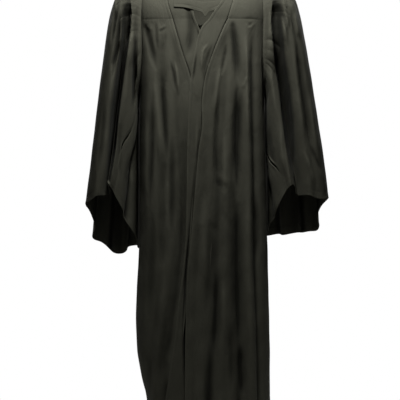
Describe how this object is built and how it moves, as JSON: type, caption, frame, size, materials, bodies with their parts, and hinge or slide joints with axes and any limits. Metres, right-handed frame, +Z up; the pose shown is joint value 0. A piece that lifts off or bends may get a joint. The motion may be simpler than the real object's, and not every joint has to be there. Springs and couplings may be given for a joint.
{
  "type": "graduation gown",
  "caption": "Full-length black graduation gown with a V neck, front facings, a yoke, pleated fronts and wide bell sleeves with arm slits, hanging as worn.",
  "frame": {"origin": "inside the yoke, level with the back of the neck, where the gown is held up", "axes": "+Z up, the gown's front faces -Y, the wearer's left is +X"},
  "size_m": [0.7468, 0.3108, 1.2984],
  "materials": {
    "gown_cloth": "matt woven cloth",
    "facing_cloth": "matt woven cloth"
  },
  "bodies": {
    "root": {"yoke_back": "gown_cloth", "back": "gown_cloth", "yoke_front_left": "gown_cloth", "front_left": "gown_cloth", "facing_left": "facing_cloth", "yoke_front_right": "gown_cloth", "front_right": "gown_cloth", "facing_right": "facing_cloth", "sleeve_upper_left": "gown_cloth", "sleeve_under_left": "gown_cloth", "sleeve_upper_right": "gown_cloth", "sleeve_under_right": "gown_cloth", "neck_strap": "facing_cloth"}
  },
  "joints": []
}
